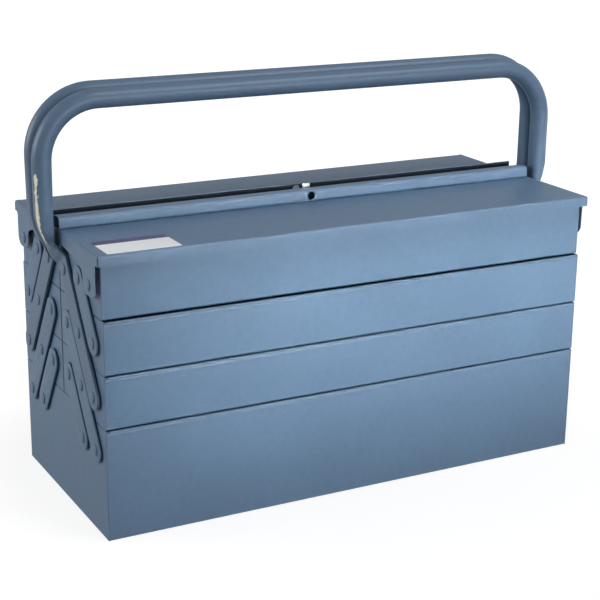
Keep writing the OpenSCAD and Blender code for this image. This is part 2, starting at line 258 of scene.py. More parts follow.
def plate(outline, holes, x_in, x_out, edge, steps=3):
    """Flat plate in a plane of constant x with rounded rims: the outline (y, z) is drawn in by
    edge (1 - sin a) while x moves by edge (1 - cos a), at both faces; holes grow likewise.
    The two faces are filled between the outline and the holes."""
    way = 1 if x_out > x_in else -1
    a = np.linspace(0, math.pi / 2, steps + 1)
    draw = np.concatenate([edge * (1 - np.sin(a)), edge * (1 - np.sin(a[::-1]))])
    x = np.concatenate([x_in + way * edge * (1 - np.cos(a)), x_out - way * edge * (1 - np.cos(a[::-1]))])
    verts, faces, count = [], [], 0
    low, high, index = [], [], []
    for k, loop in enumerate([outline, *holes]):
        loop = np.asarray(loop, float)
        area = 0.5 * np.sum(loop[:, 0] * np.roll(loop[:, 1], -1) - loop[:, 1] * np.roll(loop[:, 0], -1))
        turn = (1 if area > 0 else -1) * (1 if k == 0 else -1)
        step = mitre(loop, closed=True) * turn
        ring = loop[None] + step[None] * draw[:, None, None]
        pts = np.concatenate([np.broadcast_to(x[:, None, None], ring.shape[:2] + (1,)), ring], -1)
        n, m = pts.shape[:2]
        verts.append(pts.reshape(-1, 3))
        faces += grid_quads(n, m, wrap=True, start=count).tolist()
        low.append(ring[0])
        high.append(ring[-1])
        index.append((count + np.arange(m), count + (n - 1) * m + np.arange(m)))
        count += n * m
    for which, loops in ((0, low), (1, high)):
        flat = [[Vector((q[0], q[1], 0)) for q in loop.tolist()] for loop in loops]
        ids = np.concatenate([i[which] for i in index])
        faces += ids[np.array(tessellate_polygon(flat))].tolist()
    return np.concatenate(verts), faces


def gathered(parts):
    """One list of points and one of faces from several (points, faces) pairs."""
    verts, faces, base = [], [], 0
    for v, f in parts:
        verts.append(np.asarray(v, float))
        faces += [[i + base for i in face] for face in f]
        base += len(v)
    return np.concatenate(verts), faces


def other_side(part, axis):
    """Mirror image of a (points, faces) pair in the plane through the origin square to an axis."""
    v, f = part
    flip = np.ones(3)
    flip[axis] = -1
    return v * flip, [face[::-1] for face in f]


def both_ends(part):
    """A piece of the left end and its mirror image at the right end."""
    return [part, other_side(part, 0)]


def as_piece(name, parts, body, material, slot_name, *nodes, sharp=38):
    """Puts the shells into one mesh, closes its seams, turns its faces outwards, and lets it ride on
    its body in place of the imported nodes."""
    verts, faces = gathered(parts)
    mesh = bpy.data.meshes.new(name)
    mesh.from_pydata(verts.tolist(), [], faces)
    shell = bmesh.new()
    shell.from_mesh(mesh)
    bmesh.ops.remove_doubles(shell, verts=shell.verts, dist=2e-6)
    bmesh.ops.dissolve_degenerate(shell, edges=shell.edges, dist=1e-7)
    bmesh.ops.recalc_face_normals(shell, faces=shell.faces)
    shell.to_mesh(mesh)
    shell.free()
    mesh.polygons.foreach_set("use_smooth", np.ones(len(mesh.polygons), bool))
    mesh.set_sharp_from_angle(angle=math.radians(sharp))
    obj = bpy.data.objects.new(name, mesh)
    bpy.context.scene.collection.objects.link(obj)
    mesh.materials.append(material)
    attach(obj, body)
    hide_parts(*nodes)
    return obj


def strip(line, thick, xs):
    """Folded sheet: the line (y, z) and the same line offset to its left by thick, both run along X."""
    line, xs = np.asarray(line, float), np.asarray(xs, float)

    def run(p):
        out = np.empty((len(xs), len(p), 3))
        out[..., 0] = xs[:, None]
        out[..., 1:] = p[None]
        return out

    return slab(run(line), run(line + mitre(line) * thick))


def strip_y(line, thick, ys):
    """Folded sheet: the line (x, z) and its offset to the left, both run along Y."""
    v, f = strip(line, thick, ys)
    return v[:, [1, 0, 2]], f


# ---------------------------------------------------------------- finishes


def node_tree(name):
    """A new material with its tree and its main shader."""
    mat = bpy.data.materials.new(name)
    mat.use_nodes = True
    tree = mat.node_tree
    return mat, tree, tree.nodes["Principled BSDF"]


def link(tree, a, b):
    """Joins an output socket to an input socket."""
    tree.links.new(a, b)


def noise(tree, scale, detail, rough, coords, stretch=None):
    """Noise over Object coordinates, with an optional stretch per axis."""
    node = tree.nodes.new("ShaderNodeTexNoise")
    node.inputs["Scale"].default_value = scale
    node.inputs["Detail"].default_value = detail
    node.inputs["Roughness"].default_value = rough
    source = coords.outputs["Object"]
    if stretch:
        mapping = tree.nodes.new("ShaderNodeMapping")
        mapping.inputs["Scale"].default_value = stretch
        link(tree, source, mapping.inputs["Vector"])
        source = mapping.outputs["Vector"]
    link(tree, source, node.inputs["Vector"])
    return node


def ramp(tree, source, stops):
    """Colour ramp with (position, grey or colour) stops."""
    node = tree.nodes.new("ShaderNodeValToRGB")
    while len(node.color_ramp.elements) < len(stops):
        node.color_ramp.elements.new(0.5)
    for element, (at, value) in zip(node.color_ramp.elements, stops):
        element.position = at
        element.color = (*value, 1) if hasattr(value, "__len__") else (value, value, value, 1)
    link(tree, source, node.inputs["Fac"])
    return node


def blend_colour(tree, mode, factor, a, b):
    """Colour a blended with b; each input is a socket or a value."""
    node = tree.nodes.new("ShaderNodeMix")
    node.data_type = "RGBA"
    node.blend_type = mode
    for value, socket in ((factor, node.inputs[0]), (a, node.inputs[6]), (b, node.inputs[7])):
        if isinstance(value, (int, float)):
            socket.default_value = value
        elif isinstance(value, (tuple, list)):
            socket.default_value = (*value, 1)
        else:
            link(tree, value, socket)
    return node.outputs[2]


def maths(tree, kind, a, b=None, c=None, clamp=False):
    """Math node over sockets or numbers."""
    node = tree.nodes.new("ShaderNodeMath")
    node.operation = kind
    node.use_clamp = clamp
    for value, socket in zip((a, b, c), node.inputs):
        if isinstance(value, (int, float)):
            socket.default_value = value
        elif value is not None:
            link(tree, value, socket)
    return node.outputs[0]


# near-black painted shade for the rear lid's channel behind the band, where the box lies in deep shadow
CHANNEL_SHADE = (0.008, 0.015, 0.025)


def enamel_material(name, worn=False, channel=False, tone=1.0):
    """Baked enamel: slightly mottled blue-grey with a fine orange peel, darker where its tone is
    under 1, which paints shade into the handles' colour. Worn enamel is rubbed through to the primer
    where the mesh says so, and in the rear lid's channel behind the band a near-black painted shade
    stands in for the deep shadow there."""
    finish = bpy.context.scene.box_finish
    mat, tree, shader = node_tree(name)
    coords = tree.nodes.new("ShaderNodeTexCoord")
    cloud = noise(tree, 9, 3, 0.55, coords)
    mottle = noise(tree, 140, 4, 0.6, coords)
    broad = ramp(tree, cloud.outputs["Fac"], [(0.3, 0.44), (0.7, 0.56)])
    fine = ramp(tree, mottle.outputs["Fac"], [(0.3, 0.46), (0.7, 0.54)])
    # a tone under 1 darkens the enamel as painted shade (the handles)
    paint = tuple(tone * c for c in finish.enamel)
    colour = blend_colour(tree, "OVERLAY", 0.5, paint, broad.outputs["Color"])
    colour = blend_colour(tree, "OVERLAY", 0.6, colour, fine.outputs["Color"])
    gloss = ramp(tree, cloud.outputs["Fac"],
                 [(0.3, finish.enamel_gloss - 0.04), (0.7, finish.enamel_gloss + 0.05)])
    rough = gloss.outputs["Color"]
    peel = noise(tree, 420, 2, 0.5, coords)
    wave = noise(tree, 26, 1, 0.4, coords)
    height = maths(tree, "MULTIPLY", wave.outputs["Fac"], 1.6)
    height = maths(tree, "ADD", height, peel.outputs["Fac"])
    if worn:
        mask = worn_mask(tree, coords)
        chipped = noise(tree, 600, 3, 0.6, coords)
        primer = ramp(tree, chipped.outputs["Fac"],
                      [(0.35, tuple(0.8 * c for c in finish.primer)), (0.65, tuple(finish.primer))])
        colour = blend_colour(tree, "MIX", mask, colour, primer.outputs["Color"])
        rough = blend_colour(tree, "MIX", mask, rough, (0.75, 0.75, 0.75))
        height = maths(tree, "SUBTRACT", height, maths(tree, "MULTIPLY", mask, 2.5))
    # painted shade: the channel behind the band is laid near-black to stand in for its deep shadow
    if channel:
        mask = channel_shade_mask(tree, coords)
        colour = blend_colour(tree, "MIX", mask, colour, CHANNEL_SHADE)
        rough = blend_colour(tree, "MIX", mask, rough, (0.8, 0.8, 0.8))
    link(tree, colour, shader.inputs["Base Color"])
    link(tree, rough, shader.inputs["Roughness"])
    bump = tree.nodes.new("ShaderNodeBump")
    bump.inputs["Strength"].default_value = finish.peel
    bump.inputs["Distance"].default_value = 0.0006
    link(tree, height, bump.inputs["Height"])
    link(tree, bump.outputs["Normal"], shader.inputs["Normal"])
    shader.inputs["Metallic"].default_value = 0
    shader.inputs["IOR"].default_value = 1.5
    shader.inputs["Specular IOR Level"].default_value = 0.34
    shader.inputs["Coat Weight"].default_value = 0.03
    shader.inputs["Coat Roughness"].default_value = 0.18
    return mat


def worn_mask(tree, coords):
    """1 where the enamel is gone: where the mesh's own nearness to the rubbed line is higher than a
    noise that is coarse along the line."""
    near = tree.nodes.new("ShaderNodeAttribute")
    near.attribute_name = "rubbed"
    ragged = noise(tree, 150, 4, 0.7, coords, stretch=(1, 1, 0.4))
    spread = maths(tree, "MULTIPLY", maths(tree, "SUBTRACT", ragged.outputs["Fac"], 0.5), 1.7)
    edge = maths(tree, "SUBTRACT", maths(tree, "ADD", near.outputs["Fac"], spread), 0.48)
    return maths(tree, "MULTIPLY", edge, 14.0, clamp=True)


def channel_shade_mask(tree, coords):
    """1 between the band and the rear lid's flange, below the flange's upper edge: where shade is painted.
    """
    split = tree.nodes.new("ShaderNodeSeparateXYZ")
    link(tree, coords.outputs["Object"], split.inputs[0])
    near = maths(tree, "LESS_THAN", split.outputs["Y"], BAND_FACE - 0.35 * MM)
    low = maths(tree, "LESS_THAN", split.outputs["Z"], CHANNEL_TOP - 0.7 * MM)
    return maths(tree, "MULTIPLY", near, low)


def zinc_material():
    """Dull plating with fine spangles."""
    finish = bpy.context.scene.box_finish
    mat, tree, shader = node_tree("zinc")
    coords = tree.nodes.new("ShaderNodeTexCoord")
    spangle = noise(tree, 900, 3, 0.6, coords)
    tone = ramp(tree, spangle.outputs["Fac"],
                [(0.3, tuple(0.86 * c for c in finish.zinc)), (0.7, tuple(finish.zinc))])
    rough = ramp(tree, spangle.outputs["Fac"], [(0.3, 0.32), (0.7, 0.46)])
    link(tree, tone.outputs["Color"], shader.inputs["Base Color"])
    link(tree, rough.outputs["Color"], shader.inputs["Roughness"])
    shader.inputs["Metallic"].default_value = 0.55
    return mat


def label_material(low, high):
    """Blank label: pale paper with a plain dark band along its rear edge."""
    finish = bpy.context.scene.box_finish
    mat, tree, shader = node_tree("label")
    coords = tree.nodes.new("ShaderNodeTexCoord")
    split = tree.nodes.new("ShaderNodeSeparateXYZ")
    link(tree, coords.outputs["Object"], split.inputs[0])
    band = maths(tree, "GREATER_THAN", split.outputs["Y"], high[1] - 0.27 * (high[1] - low[1]))
    fibre = noise(tree, 1500, 3, 0.6, coords)
    paper = ramp(tree, fibre.outputs["Fac"],
                 [(0.3, tuple(0.94 * c for c in finish.label)), (0.7, tuple(finish.label))])
    colour = blend_colour(tree, "MIX", band, paper.outputs["Color"], tuple(finish.label_band))
    link(tree, colour, shader.inputs["Base Color"])
    rough = ramp(tree, fibre.outputs["Fac"], [(0.3, 0.30), (0.7, 0.38)])
    link(tree, rough.outputs["Color"], shader.inputs["Roughness"])
    return mat


FINISHES = {}


def finish_of(name):
    """The named finish, made once and shared."""
    if name not in FINISHES:
        if name == "zinc":
            FINISHES[name] = zinc_material()
        else:
            # the rear lid's enamel carries painted shade in its channel
            FINISHES[name] = enamel_material(name, channel=name == "enamel_rear_lid")
    return FINISHES[name]


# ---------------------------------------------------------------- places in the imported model


def joint_at(name):
    """(distance from the middle, height) of a joint's axis."""
    p = JOINTS[name]["pos_m"]
    return np.array([abs(p[1]), p[2]])


# the three upright columns and the four rows of pivots, and one step of the leaning arms
OUTER = joint_at("front_open")[0]
MIDDLE = joint_at("front_base_arm_turn")[0]
INNER = joint_at("front_upper_tray_level")[0]
ROWS = [joint_at("front_open")[1], joint_at("front_lower_tray_level")[1],
        joint_at("front_middle_tray_level")[1], joint_at("front_upper_tray_level")[1]]
LID_PIVOT = joint_at("front_lid_open")
STEP = np.array([MIDDLE - OUTER, ROWS[1] - ROWS[0]])
ARM_L = float(np.linalg.norm(STEP))
UP = STEP / ARM_L
ACROSS = np.array([UP[1], -UP[0]])


def half(points, side):
    """(distance from the middle, height) to (y, z) on that half."""
    p = np.array(points, float)
    p[..., 0] *= side
    return p


def extent(*nodes):
    """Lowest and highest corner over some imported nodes."""
    boxes = [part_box(n) for n in nodes]
    return np.min([b[0] for b in boxes], 0), np.max([b[1] for b in boxes], 0)


# ---------------------------------------------------------------- pieces


class TOOLBOX_OT_base(bpy.types.Operator):
    """Build the base: a pan folded from one sheet between two end plates"""

    bl_idname = "toolbox.base"
    bl_label = "Base"

    def execute(self, context):
        sizes = context.scene.box_sheet
        enamel = finish_of("enamel")
        end_x, depth, top = extent("base_end_plates")[1]
        parts = pan_parts(sizes, depth, 0.0, top, end_x, both=True)
        as_piece("base_pan_sheet", parts, "base", enamel, "enamel", "base_pan")
        parts = end_parts(sizes, depth, -depth, 0.0, top, end_x, panel=True)
        as_piece("base_ends_sheet", parts, "base", enamel, "enamel", "base_end_plates")
        return {"FINISHED"}


def pan_parts(sizes, depth, z0, z1, end_x, inner=None, both=False, side=-1, bead=True):
    """Pan folded from one sheet, run along X between the end plates.

    Its section is the wall, the fold and the floor, each offset inwards by the sheet. The rolled rim
    is an ellipse about the wall's top, a quarter wider than high, run along X and drawn in at its
    ends, with a thin lip below it that lies a little proud of the wall."""
    t, b, r, gap = sizes.sheet, sizes.bead, sizes.fold, sizes.seam
    run = end_x - gap
    xs = [-run, run]
    wall_top = z1 - b if bead else z1
    if both:
        section = [[-depth, wall_top], [-depth, z0], [depth, z0], [depth, wall_top]]
        body = rounded(section, [0, r, r, 0])
        parts = [strip(body, t, xs)]
        walls = (-1, 1)
    else:
        section = half([[depth, wall_top], [depth, z0], [inner, z0], [inner, z1]], side)
        body = rounded(section, [0, r, r, 0])
        parts = [strip(body if side < 0 else body[::-1], t, xs)]
        walls = (side,)
    if bead:
        for s in walls:
            centre = (depth - t * 0.5, z1 - b)
            a = np.radians(np.linspace(0, 360, 20, endpoint=False))
            ring = half(np.stack([centre[0] + b * 1.25 * np.cos(a), centre[1] + b * np.sin(a)], 1), s)
            stations = np.array([-run + 2.2 * MM, -run + 2.5 * MM, run - 2.5 * MM, run - 2.2 * MM])
            shrink = np.array([0.72, 1, 1, 0.72])
            mid = ring.mean(0)
            rings = np.empty((4, len(ring), 3))
            rings[..., 0] = stations[:, None]
            rings[..., 1:] = mid + (ring[None] - mid) * shrink[:, None, None]
            parts.append(loft(rings))
            lip = half([[depth + 0.02 * MM, z1 - 2.2 * b], [depth + 0.30 * MM, z1 - 2.6 * b],
                        [depth + 0.30 * MM, z1 - 4.2 * b], [depth + 0.02 * MM, z1 - 4.5 * b]], s)
            parts.append(strip(lip if s < 0 else lip[::-1], 0.25 * t, [-run + 0.3 * MM, run - 0.3 * MM]))
    return parts


def end_parts(sizes, y_out, y_in, z0, z1, end_x, panel=False):
    """End plates: a sheet whose upper rim turns inwards through half a circle and runs down again
    inside; the plate stands back from the pan's walls by most of a seam."""
    t = sizes.sheet
    y0, y1 = sorted((y_out, y_in))
    inset = 0.9 * sizes.seam
    y0, y1 = y0 + (inset if abs(y0) > 0.02 else 0), y1 - (inset if abs(y1) > 0.02 else 0)
    x = end_x - 0.12 * MM
    fold = 2.1 * t
    line = rounded([[-x, z0 + 0.1 * MM], [-x, z1], [-x + fold, z1], [-x + fold, z1 - 6 * t]],
                   [0, fold / 2 - 0.01 * MM, fold / 2 - 0.01 * MM, 0], steps=5)
    plate_part = strip_y(line[::-1], t, [y0, y1])
    parts = both_ends(plate_part)
    if panel:
        parts.append(panel_frame(x))
    return parts


PANEL = [[-0.048, 0.0375], [0.045, 0.0375], [0.045, 0.0545], [-0.048, 0.0545]]


def panel_frame(x):
    """Shallow plain frame pressed into the left end plate low down: a rounded rectangle's outline
    whose height is a cosine bump across the line."""
    loop = rounded(PANEL, 3 * MM, closed=True)
    step = mitre(loop, closed=True)
    across = np.linspace(-1, 1, 7)
    bump = 0.5 * (1 + np.cos(math.pi * across))
    rings = np.empty((len(across), len(loop), 3))
    rings[..., 0] = -x + 0.02 * MM - 0.16 * MM * bump[:, None]
    rings[..., 1:] = loop[None] + step[None] * (0.7 * MM * across)[:, None, None]
    back = rings[::-1].copy()
    back[..., 0] = -x + 0.2 * MM
    both = np.concatenate([rings, back])
    n, m = both.shape[:2]
    idx = np.arange(n * m).reshape(n, m)
    faces = grid_quads(n, m, wrap=True).tolist()
    last, first = idx[-1], idx[0]
    faces += np.stack([last, np.roll(last, -1), np.roll(first, -1), first], 1).tolist()
    return both.reshape(-1, 3), faces


class TOOLBOX_OT_trays(bpy.types.Operator):
    """Build the six trays: pans between end plates, open at the top"""

    bl_idname = "toolbox.trays"
    bl_label = "Trays"

    def execute(self, context):
        sizes = context.scene.box_sheet
        enamel = finish_of("enamel")
        for name, side in HALVES.items():
            for tier in TIERS:
                low, high = extent(f"{name}_{tier}_ends")
                inner, depth = np.sort(np.abs([low[1], high[1]]))
                z0, z1, end_x = low[2], high[2], high[0]
                body = f"{name}_{tier}"
                parts = pan_parts(sizes, depth, z0, z1, end_x, inner=inner, side=side,
                                  bead=tier != "upper")
                as_piece(f"{body}_sheet", parts, body, enamel, "enamel", f"{body}_tray")
                parts = end_parts(sizes, side * depth, side * inner, z0, z1, end_x)
                as_piece(f"{body}_end_sheets", parts, body, enamel, "enamel", f"{body}_ends")
        return {"FINISHED"}


class TOOLBOX_OT_lids(bpy.types.Operator):
    """Build the two lids: folded plates with hinge ears and a raised band along the middle"""

    bl_idname = "toolbox.lids"
    bl_label = "Lids"

    def execute(self, context):
        sizes = context.scene.box_sheet
        lid_piece("front", -1, sizes, finish_of("enamel"))
        # the rear lid's finish has painted shade in the channel behind the band
        lid_piece("rear", 1, sizes, finish_of("enamel_rear_lid"))
        return {"FINISHED"}


BAND_FACE = -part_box("front_lid_band")[0][1]
CHANNEL_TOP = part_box("rear_lid_band")[1][2]
LID_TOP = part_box("front_lid")[1][2]
LIP_DEPTH = 12.0 * MM       # the band's inner lip
LID_EDGE = 10.0 * MM        # the turned-down edges
LID_EDGE_EAR = 16.0 * MM    # the same beside the ear
WING = 5.5 * MM             # from the end of the plate to the end edge
APRON = 3.1 * MM            # how far the end's fold reaches down
EAR_W = 27.0 * MM
EAR_R = 10.0 * MM
EAR_OUT = 3.5 * MM          # how much wider the ear is on its outer side
PADLOCK = next(m for m in frame["record"]["mounts"] if m["name"] == "padlock_eye")


def lid_piece(name, side, sizes, enamel):
    """One lid of folded parts.

    The plate is a section run along X: front edge, fold and plate. At each end a wing carries the
    plate out and folds down into the end edge, whose lower border is the ear's outline, and a short
    corner carries the front edge on. On the front lid a band with rounded edges lies along the
    middle; the rear lid's plate turns up into a flange there."""
    low, high = extent(f"{name}_lid", f"{name}_lid_band", f"{name}_lid_ends")
    t, r = sizes.sheet, sizes.lid_fold
    depth = max(abs(low[1]), abs(high[1]))
    inner = 1.0 * MM
    end_x = high[0]
    top = high[2]
    plate_x = end_x - WING
    band_low, band_high = extent(f"{name}_lid_band")
    if name == "front":
        back = BAND_FACE - 4 * MM
        crest = half([
            [back, LID_TOP + 0.02 * MM], [BAND_FACE, LID_TOP + 0.02 * MM], [BAND_FACE, top],
            [inner, top - 1.6 * MM], [inner, top - LIP_DEPTH],
        ], side)
        crest = rounded(crest, [0, sizes.band_foot, sizes.band_fold, 1.6 * MM, 0], steps=8)
        wing_in = inner
    else:
        back = BAND_FACE + 4 * MM
        crest = half([[back, LID_TOP], [BAND_FACE, LID_TOP], [BAND_FACE, top]], side)
        crest = rounded(crest, [0, 2.2 * MM, 0], steps=8)
        wing_in = back
    crest = crest[::-1] if side < 0 else crest
    crest_part = bored(strip(crest, t, np.linspace(band_low[0], band_high[0], 3)))
    section = half([[depth, LID_TOP - LID_EDGE], [depth, LID_TOP], [back, LID_TOP]], side)
    line = rounded(section, [0, r, 0], steps=8)
    plate_part = strip(line[::-1] if side < 0 else line, t, np.linspace(-plate_x, plate_x, 3))
    parts = [crest_part, plate_part]

    def ended(y, z_low, profile):
        """Grid of the end's fold (x, z) along y, whose last column runs down to the lower border."""
        out = np.empty((len(y), len(profile) + 1, 3))
        out[:, :-1, 0] = profile[None, :, 0]
        out[:, :-1, 2] = profile[None, :, 1]
        out[:, -1, 0] = profile[-1, 0]
        out[:, -1, 2] = z_low
        out[..., 1] = y[:, None]
        return out

    bend = rounded([[-plate_x, LID_TOP], [-end_x, LID_TOP], [-end_x, LID_TOP - APRON]], [0, r, 0],
                   steps=8)
    edge = lid_lower_edge(depth, wing_in, LID_TOP, side)
    wing = slab(ended(edge[:, 0], edge[:, 1], bend), ended(edge[:, 0], edge[:, 1], bend + mitre(bend) * t))
    parts += both_ends(wing)
    if name == "rear":
        y = half(np.array([[inner, 0], [wing_in, 0]]), side)[:, 0]
        z_low = np.full(2, LID_TOP - LID_EDGE)
        apron = np.array([[-end_x, LID_TOP - t], [-end_x, LID_TOP - APRON]])
        parts += both_ends(slab(ended(y, z_low, apron), ended(y, z_low, apron + [t, 0])))
    corner = half([[depth, LID_TOP - LID_EDGE], [depth, LID_TOP], [depth - r - 0.3 * MM, LID_TOP]], side)
    corner = rounded(corner, [0, r, 0], steps=8)
    corner_part = strip(corner[::-1] if side < 0 else corner, t,
                        [-end_x + 1.0 * MM, -end_x + 1.3 * MM, -plate_x])
    parts += both_ends(corner_part)
    return as_piece(f"{name}_lid_sheet", parts, f"{name}_lid", enamel, "enamel",
                    f"{name}_lid", f"{name}_lid_band", f"{name}_lid_ends")


def lid_lower_edge(depth, inner, z_top, side):
    """Lower border of a lid's end edge, as (y, z) from the middle outwards: straight, deeper towards
    the ear, round the ear's two lower corners, and back up to the front edge's depth."""
    ear_in, ear_out = LID_PIVOT[0] - EAR_W / 2, LID_PIVOT[0] + EAR_W / 2 + EAR_OUT
    bottom = LID_PIVOT[1] - EAR_R
    front = depth - 0.8 * MM - 0.5 * MM
    points = [
        [inner, z_top - LID_EDGE], [MIDDLE, z_top - LID_EDGE_EAR],
        [ear_in - 0.3 * MM, LID_PIVOT[1] + EAR_R], [ear_in, bottom], [ear_out, bottom],
        [ear_out + 0.3 * MM, z_top - LID_EDGE], [front, z_top - LID_EDGE],
    ]
    line = rounded(points, [0, 20 * MM, 9 * MM, EAR_R * 0.98, EAR_R * 0.98, 3 * MM, 0], steps=10)
    keep = np.concatenate([[True], np.diff(line[:, 0]) > -1e-6])
    return half(line[keep], side)


def bored(part):
    """The same shell with the padlock hole cut through it along Y."""
    a = np.linspace(0, 2 * math.pi, RING, endpoint=False)
    x, _, z = PADLOCK["pos_m"]
    r = PADLOCK["dims"]["r_mm"] * MM
    rings = np.empty((2, RING, 3))
    rings[..., 0] = x + r * np.cos(a)
    rings[..., 2] = z + r * np.sin(a)
    rings[..., 1] = np.array([-0.03, 0.03])[:, None]
    objs = []
    for name, (verts, faces) in (("shell", part), ("drill", loft(rings))):
        mesh = bpy.data.meshes.new(name)
        mesh.from_pydata(verts.tolist(), [], faces)
        tidy = bmesh.new()
        tidy.from_mesh(mesh)
        bmesh.ops.remove_doubles(tidy, verts=tidy.verts, dist=2e-6)
        bmesh.ops.recalc_face_normals(tidy, faces=tidy.faces)
        tidy.to_mesh(mesh)
        tidy.free()
        objs.append(bpy.data.objects.new(name, mesh))
        bpy.context.scene.collection.objects.link(objs[-1])
    shell, drill = objs
    cut = shell.modifiers.new("hole", "BOOLEAN")
    cut.operation = "DIFFERENCE"
    cut.object = drill
    cut.solver = "EXACT"
    bpy.context.view_layer.update()
    done = shell.evaluated_get(bpy.context.evaluated_depsgraph_get()).to_mesh()
    verts = np.empty(3 * len(done.vertices))
    done.vertices.foreach_get("co", verts)
    faces = [list(p.vertices) for p in done.polygons]
    for obj in objs:
        mesh = obj.data
        bpy.data.objects.remove(obj)
        bpy.data.meshes.remove(mesh)
    return verts.reshape(-1, 3), faces


class TOOLBOX_OT_arms(bpy.types.Operator):
    """Build the link arms: flat bars with round ends and punched holes"""

    bl_idname = "toolbox.arms"
    bl_label = "Link arms"

    def execute(self, context):
        enamel = finish_of("enamel")
        starts = {"base_arm": ((MIDDLE, ROWS[0]), 1), "long_arm": ((OUTER, ROWS[0]), 2),
                  "top_arm": ((OUTER, ROWS[2]), 1)}
        for name, side in HALVES.items():
            for arm, (start, tiers) in starts.items():
                low, high = extent(f"{name}_{arm}_left")
                width = arm_width(low, high, tiers)
                outline, holes = bar_outline(start, tiers, width, side)
                left = plate(outline, holes, high[0], low[0], 0.75 * MM)
                body = f"{name}_{arm}s"
                as_piece(f"{name}_{arm}_left_bar", [left], body, enamel, "enamel",
                         f"{name}_{arm}_left")
                as_piece(f"{name}_{arm}_right_bar", [other_side(left, 0)], body, enamel, "enamel",
                         f"{name}_{arm}_right")
        return {"FINISHED"}


def arm_width(low, high, tiers):
    """A leaning bar's height is its pivots' rise plus its width."""
    return (high[2] - low[2]) - tiers * STEP[1]


def bar_outline(start, tiers, width, side):
    """Bar with round ends as (y, z), and its holes: half circles of radius width / 2 about the first
    and last pivot, and circles about every pivot."""
    start = np.array(start)
    end = start + UP * ARM_L * tiers
    a = np.linspace(0, math.pi, 25)[:, None]
    r = width / 2
    tail = start + r * (np.cos(a) * ACROSS - np.sin(a) * UP)
    tip = end + r * (-np.cos(a) * ACROSS + np.sin(a) * UP)
    b = np.linspace(0, 2 * math.pi, 28, endpoint=False)[:, None]
    circle = 2.58 * MM * np.concatenate([np.cos(b), np.sin(b)], 1)
    holes = [half(start + UP * ARM_L * k + circle, side) for k in range(tiers + 1)]
    return half(np.concatenate([tail, tip]), side), holes


RIVET_R = 2.5 * MM
HEAD_R, HEAD_H = 5.5 * MM, 1.6 * MM
TAIL_R = 4.25 * MM
WASHER_R, WASHER_HOLE = 6 * MM, 2.6 * MM


class TOOLBOX_OT_rivets(bpy.types.Operator):
    """Build the rivets and the washers behind the arms"""

    bl_idname = "toolbox.rivets"
    bl_label = "Rivets and washers"

    def execute(self, context):
        bodies = {"base": "base_rivets"}
        for name in HALVES:
            for tier in TIERS:
                bodies[f"{name}_{tier}"] = f"{name}_{tier}_rivets"
        for body, node in bodies.items():
            rivets_on(body, node)
        return {"FINISHED"}


def rivets_on(body, node):
    """Turned rivets and washers of one body: a head that is a quarter ellipse over a short side, a
    shank, and a formed tail behind the wall; and rings with rounded rims between wall and arm."""
    enamel, zinc = finish_of("enamel"), finish_of("zinc")
    wall = extent(body + ("_end_plates" if body == "base" else "_ends"))[1][0]
    rivet_parts, washer_parts = [], []
    for side, reach, grip, spacer in rivet_places(body):
        at = half(reach, side)
        a = np.radians(np.linspace(90, 12, 8))
        dome = np.stack([HEAD_R * np.cos(a), 0.35 * MM + (HEAD_H - 0.35 * MM) * np.sin(a)], 1)
        dome[:, 1] += grip
        profile = [*dome.tolist(), [HEAD_R, grip + 0.45 * MM], [HEAD_R, grip + 0.1 * MM],
                   [HEAD_R - 0.15 * MM, grip], [RIVET_R, grip], [RIVET_R, -0.8 * MM],
                   [TAIL_R, -0.8 * MM], [TAIL_R, -1.4 * MM], [TAIL_R - 0.6 * MM, -2.0 * MM],
                   [0, -2.0 * MM]]
        profile[0][0] = 0
        ring = lathe(profile, at, -1, 36)
        ring[..., 0] -= wall
        rivet_parts += both_ends(loft(ring, poles=True))
        rim = WASHER_R - 0.2 * MM
        washer = [[WASHER_HOLE, 0], [rim, 0], [WASHER_R, 0.2 * MM], [WASHER_R, spacer - 0.2 * MM],
                  [rim, spacer], [WASHER_HOLE, spacer], [WASHER_HOLE, 0]]
        ring = lathe(washer, at, -1, 32)
        ring[..., 0] -= wall
        washer_parts += both_ends(loft(ring, poles=True))
    as_piece(f"{node}_set", rivet_parts, body, enamel, "enamel", node)
    washers = node.replace("rivets", "washers")
    as_piece(f"{washers}_set", washer_parts, body, zinc, "zinc", washers)


def rivet_places(body):
    """(half, (distance, height), grip from the wall to under the head, washer thickness)."""
    thin, spacer = 0.8 * MM, 4.1 * MM
    arm, leg, ear = 3.0 * MM, 4.2 * MM, 5.1 * MM
    if body == "base":
        return [(s, (d, ROWS[0]), arm, thin) for s in (-1, 1) for d in (OUTER, MIDDLE)]
    name, tier = body.split("_")
    if tier == "upper":
        places = [((INNER, ROWS[3]), leg, thin), ((MIDDLE, ROWS[3]), arm, thin),
                  (tuple(LID_PIVOT), ear, spacer)]
    else:
        row = ROWS[1 + TIERS.index(tier)]
        grips = (leg, arm, arm) if tier == "lower" else (arm, leg, arm)
        places = [((d, row), grip, thin) for d, grip in zip((OUTER, MIDDLE, INNER), grips)]
    return [(HALVES[name], *place) for place in places]


class TOOLBOX_OT_handles(bpy.types.Operator):
    """Build the two handles: tube bows whose legs are pressed flat over the trays' pivots"""

    bl_idname = "toolbox.handles"
    bl_label = "Handles"

    def execute(self, context):
        for name, side in HALVES.items():
            _, high = extent(f"{name}_handle")
            # the handles' enamel is a darker copy, painted shade; the front one also has real wear
            mat = enamel_material(f"enamel_{name}_handle", worn=name == "front",
                                  tone=HANDLE_SHADE)
            rings = handle_rings(side, high[0], high[2])
            tube = as_piece(f"{name}_handle_tube", [loft(rings)], f"{name}_handle", mat, "enamel",
                            f"{name}_handle", sharp=70)
            if name == "front":
                worn_field(tube.data)
        return {"FINISHED"}


TUBE_R = 9.5 * MM
BEND_R = 56.0 * MM
